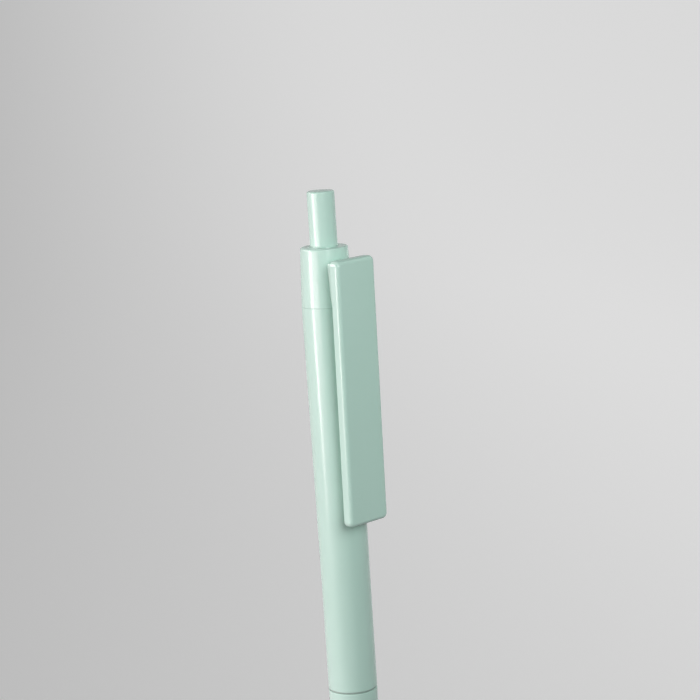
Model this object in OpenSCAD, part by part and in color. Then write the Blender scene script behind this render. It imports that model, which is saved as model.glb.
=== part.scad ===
// Retractable highlighter: a click pen with a chisel felt nib and an ink cartridge.
// The pen's axis is Z with the button up, and the clip faces -Y.
// The origin is on the axis, in the middle of the barrel's straight grip.
// Heights in the modules are measured up from the nose end; from_nose() moves them to the origin.

/* [Whole pen] */
// Length from the nose end to the button's top, with the button out
pen_length = 140; // [138:0.5:150]
// How far the button stands out of the collar
button_out = 11.8; // [9:0.1:13]
// How far the button can be pressed
press_travel = 5.6; // [4.5:0.1:5.6]

/* [Barrel] */
// Diameter at the seam under the collar, the barrel's widest place
seam_d = 11; // [10.8:0.1:12]
// Diameter of the straight grip above the nose cone
grip_d = 10.5; // [10.4:0.1:11]
// Length of the straight grip
grip_length = 21.6; // [15:0.1:25]
// Diameter of the barrel's inside
bore_d = 8.2; // [8.1:0.1:8.4]

/* [Collar] */
// Height of the collar above the seam
collar_height = 12.4; // [12:0.1:16]
// Diameter of the collar's top
collar_top_d = 10.03; // [9.9:0.01:10.6]
// Radius of the collar's rounded top edge
collar_round = 0.45; // [0.2:0.05:0.6]
// Depth of the collar's spigot in the barrel
collar_spigot = 6; // [4:0.1:7]

/* [Button] */
// Diameter of the button
button_d = 5.8; // [5.6:0.05:5.9]
// Radius of the button's rounded top edge
button_round = 0.45; // [0.2:0.05:0.8]

/* [Clip] */
// Width of the clip's plate
clip_width = 11; // [8:0.1:14]
// Length of the clip's plate
clip_length = 56.4; // [40:0.1:60]
// Thickness of the clip's plate
clip_thickness = 2.3; // [1.8:0.1:2.4]
// How far the plate's top lies below the collar's top
clip_drop = 2.1; // [1.5:0.1:3]
// Distance from the pen's axis to the plate's front face, at its top
clip_reach = 9.32; // [9.3:0.01:9.8]
// Lean of the plate towards the barrel at its lower end, in degrees
clip_lean = 0.73; // [0.5:0.01:0.8]
// Radius of the plate's corners
clip_corner = 1.2; // [0.5:0.1:2]
// Width of the neck between the plate and the collar
bridge_width = 6.4; // [4:0.1:6.6]

/* [Nose cone] */
// Length of the nose cone, without its spigot
nose_length = 32; // [31:0.5:34]
// Diameter of the nose cone's front end
nose_end_d = 6.6; // [6.2:0.1:7]
// Length of the threaded spigot in the barrel
nose_spigot = 8; // [6:0.5:9]

/* [Nib] */
// Diameter of the felt nib
nib_d = 3.6; // [3:0.1:3.6]
// How far the nib hides inside the nose cone
nib_recess = 1.5; // [1:0.1:2]
// Thickness of the nib at its chisel edge
nib_edge = 1.3; // [0.8:0.1:2]

/* [Hidden] */
$fn = 96;

mint = [0.66, 0.84, 0.77];
natural_plastic = [0.93, 0.93, 0.9];
ink_green = [0.45, 0.85, 0.68];
spring_steel = [0.75, 0.76, 0.78];

// Clearances
fixed_gap = 0.02;   // between pieces that are pressed or glued together
sliding_gap = 0.07; // between a piece and the hole it slides in
cam_gap = 0.15;     // between the flanks of the two cams
end_play = 0.4;     // left at the end of the button's travel
overcut = 1;        // how far a cut runs past the material

// Heights above the nose end
collar_top = pen_length - button_out;
seam = collar_top - collar_height;
seal_thickness = 0.4;
barrel_bottom = nose_length + seal_thickness;
grip_top = barrel_bottom + grip_length;
grip_middle = (barrel_bottom + grip_top) / 2;

// Collar and its roof, which stops the button
collar_bore_d = 8;
roof = 1.6;
roof_under = collar_top - roof;
spigot_d = 9.2;
spigot_bottom = seam - collar_spigot;

// Guide sleeve of the click mechanism
sleeve_d = collar_bore_d - 0.1;
flange_d = spigot_d - 0.1;
guide_d = 6.2;
groove_d = 7.2;
groove_width = 1.5;
groove_count = 4;
flange_height = 0.7;
flange_play = 0.1;
stop_room = 8; // the height above the sleeve for the button's stop
sleeve_flange_top = spigot_bottom - flange_play;
sleeve_flange_bottom = sleeve_flange_top - flange_height;
sleeve_top = roof_under - stop_room;

// Click cams: the teeth of the two cams face each other half a flank apart
crown_teeth = 8;
crown_height = 1;
cam_d = guide_d - 2 * sliding_gap;
cam_bore_d = 3.8;
rib_d = groove_d - 0.2;
rib_width = groove_width - 0.3;
rib_root_d = cam_d - 0.4;
cams_drop = 3.8; // from the collar's spigot down to the teeth, with the button out
thrust_bottom = spigot_bottom - cams_drop;
thrust_length = 16;
thrust_top = thrust_bottom + thrust_length;
thrust_rib = 5;
stem_length = 10;
stem_d = 4.2;
rotor_length = 8.4;
rotor_top = thrust_bottom + crown_height / 2 - cam_gap;
rotor_bottom = rotor_top - rotor_length;
rotor_rib_below = 5;
rotor_rib_above = 0.2;
rotor_rib_slant = 0.9;
rotor_hollow_d = 2.4;
rotor_hollow_depth = 5;
pilot_length = 4.6;
pilot_room = 2;
sleeve_bottom = thrust_bottom - press_travel - end_play;

// Button, and its stop inside the collar
stop_d = 6.8;
stop_gap = 0.3;
stop_top = roof_under - stop_gap;
stop_height = 1.2;
button_wall = 0.78;
button_cap = 2;
dome_rise = 0.12;

// Cartridge
tube_d = 7.4;
tube_wall = 0.5;
tube_inside_d = tube_d - 2 * tube_wall - 2 * fixed_gap; // of a piece pushed into the tube
plug_flange = 1.6;
plug_depth = 4;
cartridge_play = 0.05;
cartridge_top = rotor_bottom - cartridge_play;
tube_top = cartridge_top - plug_flange;
vent_d = 1;
vent_groove_depth = 0.5;

// Nose cone's inside, from the front: nib hole, spring room, cartridge room
nib_hole_d = 5.2;
spring_seat = 14;
spring_room_d = 7.5;
cartridge_room_d = 8.1;
cartridge_room_bottom = 26;
nose_spigot_d = 9.24;
socket_d = 9.4;
socket_room = 0.5;
seal_inset = 0.17;
seal_gap = 0.05;
nose_round = 0.4;

// Nib holder
nib_free_length = 5.7; // how far the nib stands out of its holder
holder_bottom = nib_recess + nib_free_length;
holder_front_d = 4.6;
holder_step = spring_seat + press_travel + end_play;
holder_body_d = 5.3;
shoulder_bottom = nose_length;
shoulder_height = 1.6;
tube_bottom = shoulder_bottom + shoulder_height;
holder_spigot = 6.4;
holder_top = tube_bottom + holder_spigot;
nib_depth = 6; // how far the nib is pushed into the reservoir
nib_rear = holder_top + nib_depth;
nib_taper = 5;
nib_slant = 32;

// Ink reservoir, a fibre rod in a film; air is left above it
air_space = 6;
reservoir_gap = 0.4;
reservoir_bottom = holder_top + reservoir_gap;
reservoir_top = tube_top - air_space;
film_thickness = 0.1;
nib_socket_room = 0.2;

// Return spring
wire_d = 0.44;
spring_d = 6.4;
active_coils = 7;
closed_coils = 1;
coil_steps = 24;
wire_sides = 8;

// Clip
clip_top = collar_top - clip_drop;
bridge_drop = 0.9;
bridge_top = clip_top - bridge_drop;
bridge_height = 8.4;
bridge_inner = sleeve_d / 2 + 0.1;
pocket_gap = 0.12;
pocket_side_gap = 0.08;
pocket_depth_gap = 0.15;
bump_r = 1.4;
bump_width = 4.4;
bump_rise = 5;
bump_gap = 0.08;

// Radius of the barrel's outside at a height
function barrel_r(z) =
    z <= grip_top ? grip_d / 2 : grip_d / 2 + (seam_d - grip_d) / 2 * (z - grip_top) / (seam - grip_top);

// Radius of the nose cone's outside at a height: a parabola that runs smoothly into the grip
function nose_r(z) =
    grip_d / 2 - (grip_d - nose_end_d) / 2 * pow((nose_length - z) / nose_length, 2);

// Points of an arc in the plane of a profile
function arc(x, y, r, from, to, steps = 6) =
    [for (i = [0:steps]) let (a = from + (to - from) * i / steps) [x + r * cos(a), y + r * sin(a)]];

// Distance from the axis to the plate's front face at a height
function clip_front(z) = clip_reach - (clip_top - z) * tan(clip_lean);

module from_nose() {
    translate([0, 0, -grip_middle]) children();
}

module turned(profile) {
    rotate_extrude() polygon(profile);
}

module rod(d, bottom, top) {
    translate([0, 0, bottom]) cylinder(d = d, h = top - bottom);
}

module tube(outer, inner, bottom, top) {
    difference() {
        rod(outer, bottom, top);
        rod(inner, bottom - overcut, top + overcut);
    }
}

// A prism that lies along a radius, its outline in the tangential plane
module radial_prism(outline, length, angle) {
    rotate([0, 0, angle]) rotate([90, 0, 90]) linear_extrude(height = length) polygon(outline);
}

// V-shaped notches round the end of a cam, with their points up or down
module crown_notches(z, height, phase) {
    half = cam_d / 2 * tan(180 / crown_teeth);
    back = -sign(height) * overcut;
    for (i = [0:crown_teeth - 1])
        translate([0, 0, z])
            radial_prism([[-half, back], [half, back], [half, 0], [0, height], [-half, 0]],
                         groove_d, phase + i * 360 / crown_teeth);
}

// Ribs that run in the guide sleeve's grooves; their lower and upper ends may be slanted
module ribs(bottom, top, slant) {
    intersection() {
        for (i = [0:groove_count - 1])
            translate([0, 0, bottom])
                radial_prism([[-rib_width / 2, 0], [rib_width / 2, 0],
                              [rib_width / 2, top - bottom - slant], [-rib_width / 2, top - bottom]],
                             rib_d, i * 360 / groove_count);
        tube(rib_d, rib_root_d, bottom, top);
    }
}

module barrel() {
    counterbore = spigot_d + 2 * fixed_gap;
    color(mint) from_nose() difference() {
        turned([[0, barrel_bottom], [grip_d / 2, barrel_bottom], [grip_d / 2, grip_top],
                [seam_d / 2, seam], [0, seam]]);
        rod(bore_d, barrel_bottom - overcut, seam + overcut);
        rod(counterbore, sleeve_flange_bottom - fixed_gap, seam + overcut);
        rod(socket_d, barrel_bottom - overcut, nose_length + nose_spigot + socket_room);
    }
}

module collar() {
    r_top = collar_top_d / 2;
    color(mint) from_nose() difference() {
        union() {
            turned(concat([[0, seam + fixed_gap], [seam_d / 2, seam + fixed_gap]],
                          arc(r_top - collar_round, collar_top - collar_round, collar_round, 0, 90),
                          [[0, collar_top]]));
            rod(spigot_d, spigot_bottom, seam + overcut);
        }
        rod(collar_bore_d, spigot_bottom - overcut, roof_under);
        rod(button_d + 2 * sliding_gap, roof_under - overcut, collar_top + overcut);
        clip_pocket();
    }
}

// The slot in the collar's wall that holds the clip's neck
module clip_pocket() {
    width = bridge_width + 2 * pocket_side_gap;
    bottom = bridge_top - bridge_height - pocket_gap;
    translate([-width / 2, -seam_d, bottom])
        cube([width, seam_d - bridge_inner + pocket_depth_gap, bridge_height + 2 * pocket_gap]);
}

module cam_sleeve() {
    ramp = 360 / crown_teeth;
    ramp_width = sleeve_d * tan(ramp / 2);
    color(natural_plastic) from_nose() difference() {
        union() {
            rod(sleeve_d, sleeve_bottom, sleeve_top);
            rod(flange_d, sleeve_flange_bottom, sleeve_flange_top);
        }
        rod(guide_d, sleeve_bottom - overcut, sleeve_top + overcut);
        intersection() {
            for (i = [0:groove_count - 1])
                rotate([0, 0, i * 360 / groove_count])
                    translate([0, -groove_width / 2, sleeve_bottom - overcut])
                        cube([groove_d, groove_width, sleeve_top - sleeve_bottom + 2 * overcut]);
            rod(groove_d, sleeve_bottom - overcut, sleeve_top + overcut);
        }
        for (i = [0:crown_teeth - 1])
            translate([0, 0, sleeve_bottom])
                radial_prism([[-ramp_width / 2, -overcut], [ramp_width / 2, -overcut],
                              [ramp_width / 2, crown_height], [-ramp_width / 2, 0]],
                             sleeve_d, (i + 0.5) * ramp);
    }
}

module seal_ring() {
    color(natural_plastic) from_nose()
        tube(grip_d - 2 * seal_inset, nose_spigot_d + 2 * seal_gap, nose_length + fixed_gap,
             barrel_bottom - fixed_gap);
}

module nose_cone() {
    steps = 16;
    r_end = nose_end_d / 2;
    outline = [for (i = [1:steps]) let (z = nose_length * i / steps) [nose_r(z), z]];
    color(mint) from_nose() difference() {
        union() {
            turned(concat([[0, 0]], arc(r_end - nose_round, nose_round, nose_round, -90, 0),
                          outline, [[0, nose_length]]));
            rod(nose_spigot_d, nose_length - overcut, nose_length + nose_spigot);
        }
        rod(nib_hole_d, -overcut, spring_seat + overcut);
        rod(spring_room_d, spring_seat, nose_length);
        rod(cartridge_room_d, cartridge_room_bottom, nose_length + nose_spigot + overcut);
    }
}

// Height of the wire's middle after a number of turns, from 0 at the spring's front end
function spring_rise(turn) =
    let (pitch = (shoulder_bottom - spring_seat - (2 * closed_coils + 1) * wire_d) / active_coils)
    wire_d / 2 + min(turn, closed_coils) * wire_d
    + min(max(turn - closed_coils, 0), active_coils) * pitch
    + max(turn - closed_coils - active_coils, 0) * wire_d;

module return_spring() {
    turns = active_coils + 2 * closed_coils;
    rings = turns * coil_steps;
    squeeze = 1 - 2 * fixed_gap / (shoulder_bottom - spring_seat);
    points = [for (k = [0:rings], s = [0:wire_sides - 1])
        let (turn = k / coil_steps, a = 360 * turn, b = 360 * s / wire_sides,
             r = spring_d / 2 + wire_d / 2 * cos(b))
        [r * cos(a), r * sin(a), fixed_gap + squeeze * (spring_rise(turn) + wire_d / 2 * sin(b))]];
    sides = [for (k = [0:rings - 1], s = [0:wire_sides - 1])
        let (n = (s + 1) % wire_sides, low = k * wire_sides, high = low + wire_sides)
        [low + s, low + n, high + n, high + s]];
    start_cap = [[for (s = [wire_sides - 1:-1:0]) s]];
    end_cap = [[for (s = [0:wire_sides - 1]) rings * wire_sides + s]];
    color(spring_steel) from_nose() translate([0, 0, spring_seat])
        polyhedron(points, concat(start_cap, sides, end_cap), convexity = 10);
}

module plunger() {
    r = button_d / 2;
    skirt_bottom = thrust_top + fixed_gap;
    dome_r = (pow(r - button_round, 2) + pow(dome_rise, 2)) / (2 * dome_rise);
    dome_angle = asin((r - button_round) / dome_r);
    edge_top = pen_length - dome_rise;
    edge = arc(r - button_round, edge_top - button_round, button_round, 0, 90 - dome_angle);
    color(mint) from_nose() difference() {
        union() {
            turned(concat([[0, skirt_bottom], [r, skirt_bottom]], edge,
                          arc(0, pen_length - dome_r, dome_r, 90 - dome_angle, 90)));
            rod(stop_d, stop_top - stop_height, stop_top);
        }
        rod(button_d - 2 * button_wall, skirt_bottom - overcut, pen_length - button_cap);
    }
}

module thrust_cam() {
    thrust_crown = thrust_bottom + crown_height;
    color(natural_plastic) from_nose() difference() {
        union() {
            rod(cam_d, thrust_bottom, thrust_top);
            rod(stem_d, thrust_top - overcut, thrust_top + stem_length);
            ribs(thrust_crown, thrust_crown + thrust_rib, 0);
        }
        rod(cam_bore_d, thrust_bottom - overcut, thrust_bottom + pilot_length + pilot_room);
        crown_notches(thrust_bottom, crown_height, 0);
    }
}

module rotor_cam() {
    rotor_crown = rotor_top - crown_height;
    color(natural_plastic) from_nose() {
        difference() {
            union() {
                rod(cam_d, rotor_bottom, rotor_top);
                ribs(rotor_crown - rotor_rib_below, rotor_crown + rotor_rib_above, rotor_rib_slant);
            }
            crown_notches(rotor_top, -crown_height, 0.75 * 360 / crown_teeth);
            rod(rotor_hollow_d, rotor_bottom - overcut, rotor_bottom + rotor_hollow_depth);
        }
        rod(cam_bore_d - 2 * sliding_gap, rotor_crown - overcut, rotor_top + pilot_length);
    }
}

module cartridge_tube() {
    color(natural_plastic) from_nose() tube(tube_d, tube_d - 2 * tube_wall, tube_bottom, tube_top);
}

// The plug has a vent through its middle that opens into a groove across its top
module tail_plug() {
    color(natural_plastic) from_nose() difference() {
        union() {
            rod(tube_d, tube_top + fixed_gap, cartridge_top);
            rod(tube_inside_d, tube_top - plug_depth, tube_top + overcut);
        }
        rod(vent_d, tube_top - plug_depth - overcut, cartridge_top + overcut);
        translate([-tube_d, -vent_d / 2, cartridge_top - vent_groove_depth])
            cube([2 * tube_d, vent_d, overcut]);
    }
}

module ink_reservoir() {
    core_d = tube_inside_d - 2 * film_thickness - 2 * fixed_gap;
    color(ink_green) from_nose() difference() {
        rod(core_d, reservoir_bottom, reservoir_top);
        rod(nib_d + 2 * fixed_gap, reservoir_bottom - overcut, nib_rear + nib_socket_room);
    }
}

module reservoir_film() {
    color(natural_plastic) from_nose()
        tube(tube_inside_d, tube_inside_d - 2 * film_thickness, reservoir_bottom, reservoir_top);
}

module nib_holder() {
    color(natural_plastic) from_nose() difference() {
        union() {
            rod(holder_front_d, holder_bottom, holder_step + overcut);
            rod(holder_body_d, holder_step, shoulder_bottom + overcut);
            rod(tube_d, shoulder_bottom, tube_bottom - fixed_gap);
            rod(tube_inside_d, tube_bottom - overcut, holder_top);
        }
        rod(nib_d + 2 * fixed_gap, holder_bottom - overcut, holder_top + overcut);
    }
}

// The felt rod, cut to a chisel: two flats that meet in a slanted edge
module nib() {
    slope = (nib_d - nib_edge) / 2 / nib_taper;
    wide_z = (nib_d - nib_edge / 2) / slope;
    reach = 2 * nib_rear;
    flats = [[-nib_edge / 2, 0], [nib_edge / 2, 0], [nib_d, wide_z],
             [nib_d, reach], [-nib_d, reach], [-nib_d, wide_z]];
    color(ink_green) from_nose() intersection() {
        rod(nib_d, nib_recess, nib_rear);
        translate([0, -nib_d / 2, nib_recess]) rotate([nib_slant, 0, 0]) rotate([90, 0, 0])
            linear_extrude(height = 2 * reach, center = true) polygon(flats);
    }
}

// A plate in its own plane: x across, y down from its top edge
module clip_outline() {
    r = clip_corner;
    half = clip_width / 2;
    translate([-half, -clip_length + r]) square([clip_width, clip_length - 2 * r]);
    translate([-half + r, -clip_length]) square([clip_width - 2 * r, clip_length]);
    for (x = [-half + r, half - r], y = [-clip_length + r, -r])
        translate([x, y]) circle(r);
}

module clip_plate() {
    bump_z = clip_top - clip_length + bump_rise;
    bump_y = -(barrel_r(bump_z) + bump_gap + bump_r);
    color(mint) from_nose() {
        translate([0, -clip_reach, clip_top]) rotate([clip_lean, 0, 0])
            translate([0, clip_thickness, 0]) rotate([90, 0, 0])
                linear_extrude(height = clip_thickness) clip_outline();
        translate([-bump_width / 2, bump_y, bump_z])
            rotate([0, 90, 0]) cylinder(r = bump_r, h = bump_width);
    }
}

module clip_bridge() {
    back_top = clip_front(bridge_top) - clip_thickness / cos(clip_lean);
    back_bottom = clip_front(bridge_top - bridge_height) - clip_thickness / cos(clip_lean);
    side = [[-back_top, bridge_top], [-back_bottom, bridge_top - bridge_height],
            [-bridge_inner, bridge_top - bridge_height], [-bridge_inner, bridge_top]];
    color(mint) from_nose() translate([-bridge_width / 2, 0, 0])
        rotate([90, 0, 90]) linear_extrude(height = bridge_width) polygon(side);
}

barrel();
collar();
cam_sleeve();
seal_ring();
nose_cone();
return_spring();
plunger();
thrust_cam();
rotor_cam();
cartridge_tube();
tail_plug();
ink_reservoir();
reservoir_film();
nib_holder();
nib();
clip_plate();
clip_bridge();
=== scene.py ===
"""Retractable highlighter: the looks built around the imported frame.

Lengths are in millimetres until a mesh, lamp or camera is made, and in metres inside the materials.
"""
import math

import bmesh
import bpy
from mathutils import Matrix, Vector


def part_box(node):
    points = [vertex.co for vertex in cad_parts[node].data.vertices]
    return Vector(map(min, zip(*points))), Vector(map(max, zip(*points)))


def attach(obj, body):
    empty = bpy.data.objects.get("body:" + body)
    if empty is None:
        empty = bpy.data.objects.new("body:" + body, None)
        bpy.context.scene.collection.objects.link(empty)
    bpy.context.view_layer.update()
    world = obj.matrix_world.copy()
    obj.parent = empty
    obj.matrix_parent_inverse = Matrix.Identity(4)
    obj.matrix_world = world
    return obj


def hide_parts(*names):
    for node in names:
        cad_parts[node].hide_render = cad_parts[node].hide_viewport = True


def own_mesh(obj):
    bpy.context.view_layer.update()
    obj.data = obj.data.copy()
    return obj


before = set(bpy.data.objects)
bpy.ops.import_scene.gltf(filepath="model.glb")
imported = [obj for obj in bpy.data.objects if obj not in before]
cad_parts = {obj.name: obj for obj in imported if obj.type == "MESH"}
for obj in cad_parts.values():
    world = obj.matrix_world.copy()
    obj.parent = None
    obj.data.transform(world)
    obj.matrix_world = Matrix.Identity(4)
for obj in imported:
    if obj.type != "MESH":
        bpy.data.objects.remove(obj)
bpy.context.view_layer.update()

MM = 0.001
MICRON = 0.000001
AROUND = 160  # steps round a turned piece
FILLET_STEPS = 6


# ---------------------------------------------------------------- sizes, taken from the frame

def low(node):
    """A CAD node's lowest corner at rest."""
    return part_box(node)[0] / MM


def high(node):
    """A CAD node's highest corner at rest."""
    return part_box(node)[1] / MM


FIT = 0.02  # the gap between two pieces that sit on each other

NOSE_END = low("nose_cone").z
NOSE_TOP = low("seal_ring").z - FIT
BARREL_BOTTOM = low("barrel").z
SEAM = high("barrel").z
SEAM_R = high("barrel").x
COLLAR_TOP = high("collar").z
BUTTON_TOP = high("plunger").z
GRIP_R = high("nose_cone").x
GRIP_TOP = -BARREL_BOTTOM

COLLAR_TOP_R = 5.015
COLLAR_ROUND = 0.45
SPIGOT_R = 4.6
COLLAR_SPIGOT_BOTTOM = low("collar").z
ROOF = 1.6  # the collar's end wall, round the button
BUTTON_R = 2.9
BUTTON_ROUND = 0.4
DOME_RISE = 0.14
SEAM_ROUND = 0.07

CLIP_LEAN = math.radians(0.73)
CLIP_THICKNESS = 2.3
CLIP_HALF_WIDTH = high("clip_plate").x
CLIP_FRONT = low("clip_plate").y
CLIP_TOP = high("clip_plate").z - CLIP_THICKNESS * math.sin(CLIP_LEAN)
CLIP_LENGTH = (CLIP_TOP - low("clip_plate").z) / math.cos(CLIP_LEAN)
CLIP_CORNER = 1.2
CLIP_FILLET = 0.9
BUMP_R = 1.4
BUMP_HALF_WIDTH = 2.2
BUMP_RISE = 5

THREAD_LEAD = 1.5
THREAD_CREST_R = 4.6
THREAD_ROOT_R = 4.3
SOCKET_R = 4.7
SOCKET_CREST_R = 4.42

NIB_R = high("nib").x
NIB_EDGE = 1.3  # the width of the writing edge
NIB_TAPER = 5  # the length of the flats
NIB_SLANT = math.radians(32)


# ---------------------------------------------------------------- mesh tools

def mesh(name, points, faces, body):
    """A smooth-shaded piece from points in mm, riding on a CAD body."""
    data = bpy.data.meshes.new(name)
    data.from_pydata([Vector(p) * MM for p in points], [], faces)
    data.validate()
    data.update()
    piece = bpy.data.objects.new(name, data)
    bpy.context.scene.collection.objects.link(piece)
    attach(piece, body)
    return piece


def finish_surface(piece, material, sharp_degrees=50):
    """Outward normals, smooth shading that stays flat on flat faces, and the material."""
    work = bmesh.new()
    work.from_mesh(piece.data)
    bmesh.ops.remove_doubles(work, verts=work.verts, dist=1e-7)
    bmesh.ops.recalc_face_normals(work, faces=work.faces)
    for edge in work.edges:
        edge.smooth = len(edge.link_faces) == 2 and edge.calc_face_angle(0) < math.radians(sharp_degrees)
    for face in work.faces:
        face.smooth = True
    work.to_mesh(piece.data)
    work.free()
    piece.data.materials.clear()
    piece.data.materials.append(material)
    weighted = piece.modifiers.new("flat faces stay flat", "WEIGHTED_NORMAL")
    weighted.keep_sharp = True
    weighted.weight = 50


def rounded(corners, steps=FILLET_STEPS):
    """A closed outline through (x, y, fillet) corners, each fillet an arc."""
    outline = []
    count = len(corners)
    for index, (x, y, radius) in enumerate(corners):
        here = Vector((x, y))
        if radius == 0:
            outline.append(here)
            continue
        before = (Vector(corners[index - 1][:2]) - here).normalized()
        after = (Vector(corners[(index + 1) % count][:2]) - here).normalized()
        half = before.angle(after) / 2
        centre = here + (before + after).normalized() * radius / math.sin(half)
        start = here + before * radius / math.tan(half) - centre
        end = here + after * radius / math.tan(half) - centre
        sweep = start.angle_signed(end)
        for step in range(steps + 1):
            turn = Matrix.Rotation(-sweep * step / steps, 2)
            outline.append(centre + turn @ start)
    return outline


def turned(name, outline, body, around=AROUND):
    """A piece turned round Z from a closed outline of (radius, height) points."""
    points, rings = [], []
    for radius, height in outline:
        if radius < 1e-6:
            rings.append([len(points)] * around)
            points.append((0, 0, height))
            continue
        rings.append(list(range(len(points), len(points) + around)))
        for step in range(around):
            angle = 2 * math.pi * step / around
            points.append((radius * math.cos(angle), radius * math.sin(angle), height))
    faces = []
    for here, there in zip(rings, rings[1:] + rings[:1]):
        for step in range(around):
            after = (step + 1) % around
            corner = [here[step], here[after], there[after], there[step]]
            face = [c for i, c in enumerate(corner) if c not in corner[:i]]
            if len(face) > 2:
                faces.append(face)
    return mesh(name, points, faces, body)


def lofted(name, sections, body):
    """A closed piece through rings of points, with both ends capped."""
    count = len(sections[0])
    points = [p for ring in sections for p in ring]
    faces = [list(range(count))[::-1], list(range(len(points) - count, len(points)))]
    for level in range(len(sections) - 1):
        for step in range(count):
            after = (step + 1) % count
            base = level * count
            faces.append([base + step, base + after, base + count + after, base + count + step])
    return mesh(name, points, faces, body)


def combine(piece, tool, operation):
    """Cuts tool out of piece, or joins it on, and removes tool."""
    change = piece.modifiers.new(operation, "BOOLEAN")
    change.operation = operation
    change.solver = "EXACT"
    change.object = tool
    bpy.context.view_layer.update()
    graph = bpy.context.evaluated_depsgraph_get()
    data = bpy.data.meshes.new_from_object(piece.evaluated_get(graph))
    piece.modifiers.remove(change)
    piece.data = data
    bpy.data.objects.remove(tool)


def rectangle(half_width, half_height, radius, steps=8):
    """A rounded rectangle's outline, round its middle."""
    outline = []
    for index, (sx, sy) in enumerate(((1, 1), (-1, 1), (-1, -1), (1, -1))):
        for step in range(steps + 1):
            angle = math.pi / 2 * (index + step / steps)
            outline.append((sx * (half_width - radius) + radius * math.cos(angle),
                            sy * (half_height - radius) + radius * math.sin(angle)))
    return outline


def helix_ridge(name, root_r, crest_r, bottom, turns, body, phase=0.0):
    """A right-handed thread's ridge that rises from root_r to crest_r and fades out at both ends."""
    steps = int(turns * 64)
    base, crest = 0.42, 0.16  # half the ridge's width at its root and at its crest
    run_out = 0.35  # the part of a turn over which it fades out
    sections = []
    for step in range(steps + 1):
        turn = turns * step / steps
        fade = min(1, turn / run_out, (turns - turn) / run_out)
        rise = root_r + (crest_r - root_r) * max(fade, 0.02)
        angle = 2 * math.pi * (turn + phase)
        middle = bottom + THREAD_LEAD * turn
        ring = []
        for radius, offset in ((root_r, -base), (rise, -crest), (rise, crest), (root_r, base)):
            ring.append((radius * math.cos(angle), radius * math.sin(angle), middle + offset))
        sections.append(ring)
    return lofted(name, sections, body)


# ---------------------------------------------------------------- material tools

NOISE_RANGE = (0.3, 0.7)  # where nearly all of a noise's values lie


def new_material(name, **settings):
    """A material with constant shader settings, and its tree and shader."""
    material = bpy.data.materials.new(name)
    material.use_nodes = True
    shader = material.node_tree.nodes["Principled BSDF"]
    for key, value in settings.items():
        shader.inputs[key.replace("_", " ")].default_value = value
    return material, material.node_tree, shader


def add_node(tree, kind, settings=None, **inputs):
    """A node with its settings, and each input set to a value or linked to another node's output."""
    made = tree.nodes.new(kind)
    for key, value in (settings or {}).items():
        setattr(made, key, value)
    for key, value in inputs.items():
        socket = made.inputs[key.replace("_", " ")]
        if isinstance(value, bpy.types.NodeSocket):
            tree.links.new(value, socket)
        else:
            socket.default_value = value
    return made


def noise(tree, scale, stretch=(1, 1, 1), detail=3.0, roughness=0.5):
    """Noise in the piece's own metres, stretched along an axis."""
    place = add_node(tree, "ShaderNodeTexCoord")
    mapping = add_node(tree, "ShaderNodeMapping", Vector=place.outputs["Object"], Scale=stretch)
    return add_node(tree, "ShaderNodeTexNoise", Vector=mapping.outputs["Vector"],
                    Scale=scale, Detail=detail, Roughness=roughness).outputs["Fac"]


def paint(tree, shader, value, dark, light):
    """The base colour: a noise value spread between two colours."""
    made = add_node(tree, "ShaderNodeValToRGB", Fac=value)
    for element, position, colour in zip(made.color_ramp.elements, NOISE_RANGE, (dark, light)):
        element.position = position
        element.color = colour
    tree.links.new(made.outputs["Color"], shader.inputs["Base Color"])


def polish(tree, shader, value, smoothest, roughest):
    """The roughness: a noise value spread between two numbers."""
    made = add_node(tree, "ShaderNodeMapRange", Value=value, From_Min=NOISE_RANGE[0],
                    From_Max=NOISE_RANGE[1], To_Min=smoothest, To_Max=roughest)
    tree.links.new(made.outputs["Result"], shader.inputs["Roughness"])


def grade(tree, value, limits, results):
    """A smooth step of the value from one limit to the other."""
    made = add_node(tree, "ShaderNodeMapRange", {"interpolation_type": "SMOOTHSTEP"}, Value=value,
                    From_Min=limits[0], From_Max=limits[1], To_Min=results[0], To_Max=results[1])
    return made.outputs["Result"]


def bump(tree, shader, height, distance):
    """Fine relief on the surface, as deep as the distance in metres."""
    made = add_node(tree, "ShaderNodeBump", Height=height, Distance=distance, Strength=1.0)
    tree.links.new(made.outputs["Normal"], shader.inputs["Normal"])


def srgb(red, green, blue):
    """An sRGB colour from 0 to 255 as linear light."""
    linear = []
    for value in (red, green, blue):
        part = value / 255
        linear.append(part / 12.92 if part <= 0.04045 else ((part + 0.055) / 1.055) ** 2.4)
    return (*linear, 1.0)


# ---------------------------------------------------------------- materials

def mint_gloss():
    """Injection-moulded gloss plastic: very slight flow marks, orange peel and handling haze."""
    material, tree, shader = new_material(
        "mint_gloss_plastic", IOR=1.5, Subsurface_Weight=0.1, Subsurface_Scale=0.0004,
        Subsurface_Radius=(1.0, 1.0, 1.0))
    flow = noise(tree, 90, stretch=(1, 1, 0.25), detail=4)
    paint(tree, shader, flow, srgb(182, 217, 204), srgb(186, 220, 208))
    haze = noise(tree, 420, stretch=(1, 1, 0.4), detail=6, roughness=0.65)
    polish(tree, shader, haze, 0.18, 0.26)
    bump(tree, shader, noise(tree, 900, detail=2), 2.5 * MICRON)
    return material


def natural_acetal():
    """Uncoloured moulded acetal, milky and slightly waxy."""
    material, tree, shader = new_material(
        "natural_acetal", IOR=1.48, Subsurface_Weight=0.3, Subsurface_Scale=0.001,
        Subsurface_Radius=(1.0, 0.95, 0.85))
    cloud = noise(tree, 220, detail=3)
    paint(tree, shader, cloud, srgb(226, 226, 216), srgb(238, 238, 230))
    polish(tree, shader, noise(tree, 900), 0.32, 0.44)
    bump(tree, shader, noise(tree, 1400, detail=4), 8 * MICRON)
    return material


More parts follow.
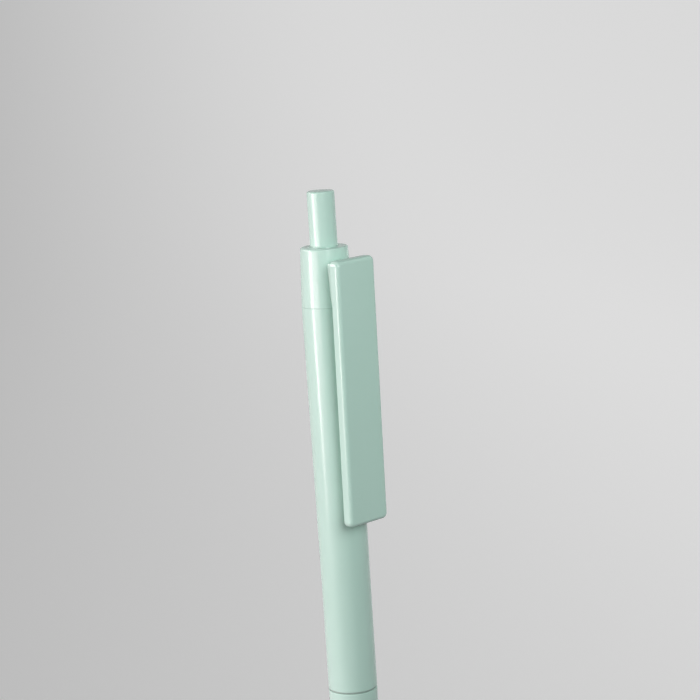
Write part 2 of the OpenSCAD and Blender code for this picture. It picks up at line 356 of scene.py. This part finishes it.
def cartridge_plastic():
    """Milky polypropylene with faint drawing lines along the tube."""
    material, tree, shader = new_material(
        "cartridge_plastic", IOR=1.49, Subsurface_Weight=0.4, Subsurface_Scale=0.001,
        Subsurface_Radius=(0.9, 1.0, 0.95))
    lines = noise(tree, 1600, stretch=(1, 1, 0.03), detail=4)
    paint(tree, shader, lines, srgb(214, 226, 220), srgb(228, 236, 232))
    polish(tree, shader, lines, 0.25, 0.38)
    bump(tree, shader, lines, 6 * MICRON)
    return material


def clear_film():
    """The reservoir's thin clear wrap, with lengthwise creases."""
    material, tree, shader = new_material("clear_film", IOR=1.5, Transmission_Weight=0.6)
    crease = noise(tree, 700, stretch=(1, 1, 0.08), detail=5)
    paint(tree, shader, crease, srgb(205, 232, 220), srgb(232, 244, 238))
    polish(tree, shader, crease, 0.08, 0.2)
    bump(tree, shader, crease, 20 * MICRON)
    return material


def spring_wire():
    """Drawn spring steel with fine lines and a little oil."""
    material, tree, shader = new_material("spring_steel", Metallic=1.0)
    lines = noise(tree, 2600, stretch=(1, 1, 6), detail=5)
    paint(tree, shader, lines, srgb(168, 170, 174), srgb(205, 206, 208))
    polish(tree, shader, lines, 0.2, 0.34)
    bump(tree, shader, lines, 6 * MICRON)
    return material


def seal_rubber():
    """Soft pale silicone with a dusty surface."""
    material, tree, shader = new_material("seal_rubber", IOR=1.42)
    dust = noise(tree, 1500, detail=6, roughness=0.7)
    paint(tree, shader, dust, srgb(138, 160, 152), srgb(156, 176, 168))
    polish(tree, shader, dust, 0.55, 0.75)
    bump(tree, shader, dust, 10 * MICRON)
    return material


def fibre(name, dark, light, across, depth):
    """Ink-soaked felt: lengthwise fibres with darker, wetter streaks."""
    material, tree, shader = new_material(name, IOR=1.36, Sheen_Weight=0.25, Sheen_Roughness=0.5)
    strand = noise(tree, across, stretch=(1, 1, 0.06), detail=8, roughness=0.7)
    paint(tree, shader, strand, dark, light)
    wet = noise(tree, 260, detail=3)
    polish(tree, shader, wet, 0.5, 0.8)
    bump(tree, shader, strand, depth)
    return material


def paper_with_painted_light():
    """Seamless studio paper with a barely visible tooth, and painted light: an emission that stands in for
    lamp light on it.

    The painted light grows across the floor, in one level direction set by a constant in the studio
    section, and a little with the distance.
    """
    material, tree, shader = new_material(
        "seamless_paper_painted_light", Specular_IOR_Level=0.2, Emission_Color=(1, 1, 1, 1))
    tooth = noise(tree, 900, detail=4)
    paint(tree, shader, tooth, srgb(218, 218, 218), srgb(220, 220, 220))
    polish(tree, shader, tooth, 0.85, 0.95)
    bump(tree, shader, tooth, 20 * MICRON)
    # Painted light: emission standing in for lamp light, brighter across the floor in one direction and a
    # little brighter farther out.
    place = add_node(tree, "ShaderNodeTexCoord").outputs["Object"]
    turn = add_node(tree, "ShaderNodeMapping", Vector=place, Rotation=(0, 0, PAINTED_LIGHT_TURN))
    split = add_node(tree, "ShaderNodeSeparateXYZ", Vector=turn.outputs["Vector"])
    across = grade(tree, split.outputs["X"], (-0.3, 0.3), (0.18, 0.52))
    distance = add_node(tree, "ShaderNodeVectorMath", {"operation": "LENGTH"}, Vector=place)
    painted_light_outward = grade(tree, distance.outputs["Value"], (0.3, 1.5), (0.0, 0.03))
    glow = add_node(tree, "ShaderNodeMath", {"operation": "ADD"})
    tree.links.new(across, glow.inputs[0])
    tree.links.new(painted_light_outward, glow.inputs[1])
    tree.links.new(glow.outputs["Value"], shader.inputs["Emission Strength"])
    return material


MINT = mint_gloss()
ACETAL = natural_acetal()
CARTRIDGE = cartridge_plastic()
FILM = clear_film()
STEEL = spring_wire()
RUBBER = seal_rubber()
RESERVOIR = fibre("ink_fibre", srgb(92, 190, 150), srgb(134, 218, 184), 2400, 30 * MICRON)
FELT = fibre("nib_felt", srgb(74, 176, 136), srgb(112, 204, 168), 3600, 40 * MICRON)


# ---------------------------------------------------------------- the pen's outside

def barrel():
    """The long tube, with a seat for the collar at its top and the nose cone's threaded socket below."""
    bore = 4.1
    seat_depth = 0.82
    step = COLLAR_SPIGOT_BOTTOM - seat_depth
    seat_r = SPIGOT_R + FIT
    socket_top = high("nose_cone").z + 0.5
    outline = rounded([
        (GRIP_R, BARREL_BOTTOM, 0.1), (GRIP_R, GRIP_TOP, 0), (SEAM_R, SEAM, SEAM_ROUND),
        (seat_r, SEAM, 0.05), (seat_r, step, 0), (bore, step, 0.1),
        (bore, socket_top, 0.1), (SOCKET_R, socket_top, 0), (SOCKET_R, BARREL_BOTTOM, 0.08)])
    piece = turned("barrel_shell", outline, "barrel")
    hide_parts("barrel")
    finish_surface(piece, MINT)
    thread = helix_ridge(
        "barrel_thread", SOCKET_R, SOCKET_CREST_R, BARREL_BOTTOM + 1.3, 4, "barrel",
        phase=0.5)
    finish_surface(thread, MINT)


def collar():
    """The upper sleeve, with the button's hole in its roof and the pocket for the clip's neck."""
    cavity = 4.0
    hole = BUTTON_R + 0.07
    roof_under = COLLAR_TOP - ROOF
    edge = SEAM + FIT
    outline = rounded([
        (SPIGOT_R, COLLAR_SPIGOT_BOTTOM, 0.1), (SPIGOT_R, edge, 0), (SEAM_R, edge, SEAM_ROUND),
        (COLLAR_TOP_R, COLLAR_TOP, COLLAR_ROUND), (hole, COLLAR_TOP, 0.12), (hole, roof_under, 0.05),
        (cavity, roof_under, 0.2), (cavity, COLLAR_SPIGOT_BOTTOM, 0.1)], steps=8)
    piece = turned("collar_sleeve", outline, "barrel", around=192)
    combine(piece, neck_pocket(), "DIFFERENCE")
    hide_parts("collar")
    finish_surface(piece, MINT, sharp_degrees=35)


def neck_pocket():
    """The hole that the clip's neck sits in, a little larger than the neck."""
    bridge_low, bridge_high = low("clip_bridge"), high("clip_bridge")
    half_width = bridge_high.x + 0.08
    middle = (bridge_high.z + bridge_low.z) / 2
    half_height = (bridge_high.z - bridge_low.z) / 2 + 0.12
    ring = rectangle(half_width, half_height, 0.3)
    depths = (-SEAM_R - 1, bridge_high.y + 0.15)
    sections = [[(x, y, middle + z) for x, z in ring] for y in depths]
    return lofted("pocket", sections, "barrel")


def dome(radius, top):
    """(radius, height, 0) corners over the button's end, from its edge to its middle."""
    curve = (radius ** 2 + DOME_RISE ** 2) / (2 * DOME_RISE)
    steps = 8
    corners = []
    for step in range(1, steps + 1):
        out = radius * (1 - step / steps)
        corners.append((out, top - curve + math.sqrt(curve ** 2 - out ** 2), 0))
    return corners


def button():
    """The hollow push button, with the stop ring that keeps it in the collar."""
    bottom = low("plunger").z
    stop_r = high("plunger").x
    stop_top = COLLAR_TOP - ROOF - 0.3
    stop_bottom = stop_top - 1.2
    edge_z = BUTTON_TOP - DOME_RISE
    inside = BUTTON_R - 0.78
    inside_top = BUTTON_TOP - 2
    dome_r = BUTTON_R - BUTTON_ROUND - 0.05
    outline = rounded(
        [(BUTTON_R, bottom, 0.1), (BUTTON_R, stop_bottom, 0), (stop_r, stop_bottom, 0.1),
         (stop_r, stop_top, 0.1), (BUTTON_R, stop_top, 0), (BUTTON_R, edge_z, BUTTON_ROUND),
         (dome_r, edge_z, 0)] + dome(dome_r, BUTTON_TOP)
        + [(0, inside_top, 0), (inside, inside_top, 0), (inside, bottom, 0)], steps=8)
    piece = turned("button", outline, "plunger")
    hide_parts("plunger")
    finish_surface(piece, MINT)


def clip():
    """The clip in one moulding: a leaning plate with filleted front edges, its bump and its neck."""
    half_length = CLIP_LENGTH / 2
    back_round = 0.25
    front_steps, back_steps = FILLET_STEPS + 2, 3
    profile = []
    for step in range(front_steps + 1):
        angle = math.pi / 2 * step / front_steps
        profile.append((CLIP_FILLET * (1 - math.sin(angle)), CLIP_FILLET * (1 - math.cos(angle))))
    for step in range(back_steps + 1):
        angle = math.pi / 2 * step / back_steps
        profile.append((back_round * (1 - math.cos(angle)),
                        CLIP_THICKNESS - back_round * (1 - math.sin(angle))))
    lean = Matrix.Rotation(CLIP_LEAN, 3, "X")
    corner = Vector((0, CLIP_FRONT, CLIP_TOP))
    sections = []
    for inset, depth in profile:
        ring = rectangle(CLIP_HALF_WIDTH - inset, half_length - inset, CLIP_CORNER - inset * 0.8, steps=10)
        sections.append([corner + lean @ Vector((x, depth, z - half_length)) for x, z in ring])
    piece = lofted("clip", sections, "clip")
    combine(piece, clip_bump(), "UNION")
    combine(piece, clip_neck(), "UNION")
    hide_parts("clip_plate", "clip_bridge")
    finish_surface(piece, MINT, sharp_degrees=40)


def clip_bump():
    """The ridge near the clip's free end, rounded off at both of its ends."""
    centre_y = high("clip_plate").y - BUMP_R
    centre_z = low("clip_plate").z + BUMP_RISE
    steps, sides = 16, 28
    sections = []
    for step in range(steps + 1):
        across = -math.cos(math.pi * step / steps)
        radius = BUMP_R * math.sqrt(max(1 - across ** 6, 0.04))
        ring = []
        for side in range(sides):
            angle = 2 * math.pi * side / sides
            ring.append((BUMP_HALF_WIDTH * across, centre_y + radius * math.cos(angle),
                         centre_z + radius * math.sin(angle)))
        sections.append(ring)
    return lofted("bump", sections, "clip")


def clip_neck():
    """The neck from the collar's pocket to the plate, with a fillet where it meets the plate."""
    bridge_low, bridge_high = low("clip_bridge"), high("clip_bridge")
    middle = (bridge_high.z + bridge_low.z) / 2
    half_height = (bridge_high.z - bridge_low.z) / 2
    flare = 0.5
    flare_steps = 5
    overlap = 0.5
    plate_back = CLIP_FRONT + CLIP_THICKNESS
    levels = [(bridge_high.y, 0), (plate_back + flare, 0)]
    for step in range(1, flare_steps + 1):
        angle = math.pi / 2 * step / flare_steps
        levels.append((plate_back + flare * (1 - math.sin(angle)), flare * (1 - math.cos(angle)) * 0.8))
    levels.append((plate_back - overlap, flare * 0.8))
    sections = []
    for y, grow in levels:
        ring = rectangle(bridge_high.x + grow, half_height + grow * 0.8, 0.3 + grow * 0.5, steps=6)
        sections.append([(x, y, middle + z) for x, z in ring])
    return lofted("neck", sections, "clip")


def nose_cone():
    """The tapered front end, with the nib's hole, the spring's seat and the outer thread."""
    end_r = 3.3
    length = NOSE_TOP - NOSE_END
    hole = 2.6
    seat = NOSE_END + 14
    room_step = NOSE_END + 26
    spring_room = 3.75
    cartridge_room = 4.05
    top = high("nose_cone").z
    curve = []
    steps = 28
    for step in range(1, steps):
        height = length * (1 - step / steps)
        curve.append((GRIP_R - (GRIP_R - end_r) * ((length - height) / length) ** 2, NOSE_END + height, 0))
    outline = rounded(
        [(THREAD_ROOT_R, top, 0.15), (THREAD_ROOT_R, NOSE_TOP, 0), (GRIP_R, NOSE_TOP, 0.1)] + curve
        + [(end_r, NOSE_END, 0.4), (hole, NOSE_END, 0.15), (hole, seat, 0.1), (spring_room, seat, 0.1),
           (spring_room, room_step, 0), (cartridge_room, room_step, 0), (cartridge_room, top, 0.08)])
    piece = turned("nose_shell", outline[::-1], "nose_cone")
    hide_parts("nose_cone")
    finish_surface(piece, MINT)
    thread = helix_ridge(
        "nose_thread", THREAD_ROOT_R, THREAD_CREST_R, NOSE_TOP + 1.7, 3.6, "nose_cone")
    finish_surface(thread, MINT)


def seal_ring():
    """The silicone ring between the nose cone's shoulder and the barrel."""
    inner, outer = 4.68, high("seal_ring").x
    bottom, top = low("seal_ring").z, high("seal_ring").z
    outline = rounded([(inner, bottom, 0.1), (outer, bottom, 0.12), (outer, top, 0.12), (inner, top, 0.1)])
    piece = turned("seal", outline, "seal_ring")
    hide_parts("seal_ring")
    finish_surface(piece, RUBBER)


# ---------------------------------------------------------------- the pen's inside

def nib():
    """The felt rod with its two flats and slanted edge, their corners softened."""
    bottom, top = low("nib").z, high("nib").z
    steps = 60
    heights = [bottom + (top - bottom) * step / steps for step in range(steps + 1)]
    outline = [Vector((0, top))] + [Vector((NIB_R, h)) for h in reversed(heights)] + [Vector((0, bottom))]
    piece = turned("felt_nib", outline, "cartridge", around=64)
    work = bmesh.new()
    work.from_mesh(piece.data)
    slant = Matrix.Rotation(NIB_SLANT, 3, "X")
    flank = math.atan((NIB_R - NIB_EDGE / 2) / NIB_TAPER)
    edge = Vector((0, -NIB_R, bottom))
    planes = [(edge, slant @ Vector((0, 0, -1)))]
    for side in (1, -1):
        planes.append((edge + Vector((side * NIB_EDGE / 2, 0, 0)),
                       slant @ Vector((side * math.cos(flank), 0, -math.sin(flank)))))
    for point, normal in planes:
        everything = list(work.verts) + list(work.edges) + list(work.faces)
        cut = bmesh.ops.bisect_plane(
            work, geom=everything, plane_co=point * MM, plane_no=normal, clear_outer=True)
        rim = [e for e in cut["geom_cut"] if isinstance(e, bmesh.types.BMEdge)]
        bmesh.ops.contextual_create(work, geom=rim)
    work.to_mesh(piece.data)
    work.free()
    soften = piece.modifiers.new("worn corners", "BEVEL")
    soften.width = 0.12 * MM
    soften.segments = 3
    soften.angle_limit = math.radians(30)
    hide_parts("nib")
    finish_surface(piece, FELT, sharp_degrees=60)


def nib_holder():
    """The stepped front of the cartridge, with the shoulder that the spring pushes on."""
    bottom, top = low("nib_holder").z, high("nib_holder").z
    bore = NIB_R + FIT
    tip_r, tip_top = 2.3, NOSE_END + 20
    body_r = 2.65
    flange_r, flange_height = 3.7, 1.58
    flange_top = NOSE_TOP + flange_height
    plug_r = 3.18
    outline = rounded([
        (tip_r, bottom, 0.2), (tip_r, tip_top, 0.1), (body_r, tip_top, 0.1), (body_r, NOSE_TOP, 0.1),
        (flange_r, NOSE_TOP, 0.1), (flange_r, flange_top, 0.1), (plug_r, flange_top, 0),
        (plug_r, top, 0.15), (bore, top, 0.05), (bore, bottom, 0.08)])
    piece = turned("nib_holder_body", outline, "cartridge", around=96)
    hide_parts("nib_holder")
    finish_surface(piece, CARTRIDGE)


def return_spring():
    """A compression spring with closed ends, which shortens as the button is pressed."""
    wire_r = 0.22
    mean_r = 3.2
    bottom, top = low("return_spring").z, high("return_spring").z
    active, closed = 7, 1
    turns = active + 2 * closed
    pitch = (top - bottom - (2 * closed + 1) * 2 * wire_r) / active
    steps, sides = turns * 48, 14
    sections = []
    for step in range(steps + 1):
        turn = turns * step / steps
        start = min(turn, closed)
        middle = min(max(turn - closed, 0), active)
        end = max(turn - closed - active, 0)
        rise = bottom + wire_r + (start + end) * 2 * wire_r + middle * pitch
        angle = 2 * math.pi * turn
        ring = []
        for side in range(sides):
            around = 2 * math.pi * side / sides
            radius = mean_r + wire_r * math.cos(around)
            height = rise + wire_r * math.sin(around)
            ring.append((radius * math.cos(angle), radius * math.sin(angle), height))
        sections.append(ring)
    piece = lofted("spring_coil", sections, "nose_cone")
    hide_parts("return_spring")
    finish_surface(piece, STEEL)
    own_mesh(piece)


def inner_materials():
    """Materials for the inside pieces that keep the CAD's own mesh."""
    chosen = {"cam_sleeve": ACETAL, "thrust_cam": ACETAL, "rotor_cam": ACETAL, "tail_plug": ACETAL,
              "cartridge_tube": CARTRIDGE, "reservoir_film": FILM, "ink_reservoir": RESERVOIR}
    for name, material in chosen.items():
        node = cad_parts[name]
        node.data.materials.clear()
        node.data.materials.append(material)


# ---------------------------------------------------------------- studio

CAMERA_AZIMUTH = math.radians(-43.62)
CAMERA_DISTANCE = 452.0
CAMERA_RISE = 56.75  # above the collar's top
CAMERA_YAW = math.radians(0.511)  # past the pen's axis
CAMERA_PITCH = math.radians(-9.924)
CAMERA_ROLL = math.radians(-3.701)
CAMERA_LENS = 112.1
FLOOR_R = 1700
FLOOR_Z = NOSE_END - 4.2  # clear of the nib when the button is pressed
WALL_TOP = 1500
PAINTED_LIGHT_TURN = math.radians(33.6)  # the direction in which the paper's painted light grows
WHITE = (1.0, 1.0, 1.0)
WARM = (1.0, 0.84, 0.87)  # a pink tint


def facing(azimuth):
    """The level direction from the pen towards an azimuth; azimuth 0 is the clip's side."""
    return Vector((math.sin(azimuth), -math.cos(azimuth), 0))


def camera():
    """A long lens, looking slightly down on the pen's upper part."""
    data = bpy.data.cameras.new("camera")
    data.sensor_width = 36
    data.lens = CAMERA_LENS
    data.clip_start = 0.01
    data.clip_end = 100
    eye = bpy.data.objects.new("camera", data)
    bpy.context.scene.collection.objects.link(eye)
    place = facing(CAMERA_AZIMUTH) * CAMERA_DISTANCE + Vector((0, 0, COLLAR_TOP + CAMERA_RISE))
    level = Matrix.Rotation(CAMERA_AZIMUTH - CAMERA_YAW, 4, "Z")
    tilt = Matrix.Rotation(math.pi / 2 + CAMERA_PITCH, 4, "X")
    roll = Matrix.Rotation(CAMERA_ROLL, 4, "Z")
    eye.matrix_world = Matrix.Translation(place * MM) @ level @ tilt @ roll
    bpy.context.scene.camera = eye


def softbox(name, azimuth, distance, height, size, power, lit, aim=0, colour=WHITE, shine=True):
    """A rectangular lamp that faces the pen and lights only the pieces in lit.

    The azimuth is in degrees from the camera's, and height and aim are measured from the collar's top.
    A lamp without shine gives no reflections.
    """
    data = bpy.data.lights.new(name, "AREA")
    data.shape = "RECTANGLE"
    data.size = size[0] * MM
    data.size_y = size[1] * MM
    data.energy = power
    data.color = colour
    lamp = bpy.data.objects.new(name, data)
    bpy.context.scene.collection.objects.link(lamp)
    place = facing(CAMERA_AZIMUTH + math.radians(azimuth)) * distance + Vector((0, 0, COLLAR_TOP + height))
    look = Vector((0, 0, COLLAR_TOP + aim)) - place
    lamp.matrix_world = Matrix.Translation(place * MM) @ look.to_track_quat("-Z", "Y").to_matrix().to_4x4()
    lamp.visible_camera = False
    lamp.visible_glossy = shine
    lamp.light_linking.receiver_collection = lit


def studio_floor():
    """Seamless paper: a round floor that sweeps up into a wall.

    The pen mirrors it, but takes no bounced light from it.
    """
    steps, bend_steps = 96, 16
    bend = FLOOR_R / 2
    profile = [(FLOOR_R * part, 0) for part in (0.02, 0.1, 0.25, 0.4)]
    for step in range(bend_steps + 1):
        angle = math.pi / 2 * step / bend_steps
        profile.append((FLOOR_R - bend + bend * math.sin(angle), bend - bend * math.cos(angle)))
    profile.append((FLOOR_R, WALL_TOP))
    points = []
    for radius, height in profile:
        for step in range(steps):
            angle = 2 * math.pi * step / steps
            points.append((radius * math.cos(angle), radius * math.sin(angle), FLOOR_Z + height))
    faces = [list(range(steps))]
    for level in range(len(profile) - 1):
        for step in range(steps):
            after = (step + 1) % steps
            base = level * steps
            faces.append([base + step, base + steps + step, base + steps + after, base + after])
    data = bpy.data.meshes.new("studio_floor")
    data.from_pydata([Vector(p) * MM for p in points], [], faces)
    data.update()
    # the paper's material carries painted light: an emission that grows across the floor in place of
    # uneven lamp light
    data.materials.append(paper_with_painted_light())
    for face in data.polygons:
        face.use_smooth = True
    piece = bpy.data.objects.new("studio_floor", data)
    bpy.context.scene.collection.objects.link(piece)
    piece.visible_diffuse = False
    return piece


def sky():
    """A dim, even glow from everywhere, so that no side of the pen is black."""
    world = bpy.data.worlds.new("studio")
    bpy.context.scene.world = world
    world.use_nodes = True
    background = world.node_tree.nodes["Background"]
    background.inputs["Color"].default_value = (1.0, 1.0, 1.0, 1.0)
    background.inputs["Strength"].default_value = 0.06


def group_of(name, members):
    """A collection of pieces, for lamps that light nothing else."""
    group = bpy.data.collections.new(name)
    for piece in members:
        group.objects.link(piece)
    return group


def lighting(pen, paper):
    """Strips and tinted boxes on the left, fills all round, and a lamp for the paper alone."""
    softbox("key_strip", azimuth=-70, distance=350, height=-53, size=(38, 90), power=0.26, lit=pen,
            aim=-53, colour=WARM)
    softbox("key_tail", azimuth=-67, distance=350, height=-112, size=(34, 28), power=0.07, lit=pen,
            aim=-112, colour=WARM)
    softbox("key_glow", azimuth=-75, distance=600, height=20, size=(160, 130), power=1.15, lit=pen,
            aim=20, colour=WARM)
    softbox("left_fill", azimuth=-99, distance=679, height=169, size=(300, 300), power=3.0, lit=pen,
            colour=WARM)
    softbox("low_fill", azimuth=-50, distance=645, height=-85, size=(300, 160), power=1.05, lit=pen,
            aim=-75, colour=WARM)
    softbox("front_fill", azimuth=15, distance=679, height=169, size=(300, 300), power=1.55, lit=pen,
            aim=-20)
    softbox("front_near", azimuth=30, distance=240, height=100, size=(150, 150), power=0.32, lit=pen,
            aim=-10)
    softbox("right_fill", azimuth=112, distance=500, height=330, size=(220, 220), power=0.2, lit=pen)
    softbox("back_fill", azimuth=160, distance=600, height=-60, size=(400, 160), power=2.4, lit=pen,
            aim=-60, shine=False)
    softbox("paper_top", azimuth=0, distance=0, height=1450, size=(1400, 1400), power=7.5, lit=paper)
    sky()


barrel()
collar()
button()
clip()
nose_cone()
seal_ring()
nib()
nib_holder()
return_spring()
inner_materials()
pieces = [piece for piece in bpy.context.scene.objects if piece.type == "MESH"]
floor = studio_floor()
camera()
lighting(group_of("pen", pieces), group_of("paper", [floor]))
bpy.context.scene.view_settings.view_transform = "Standard"
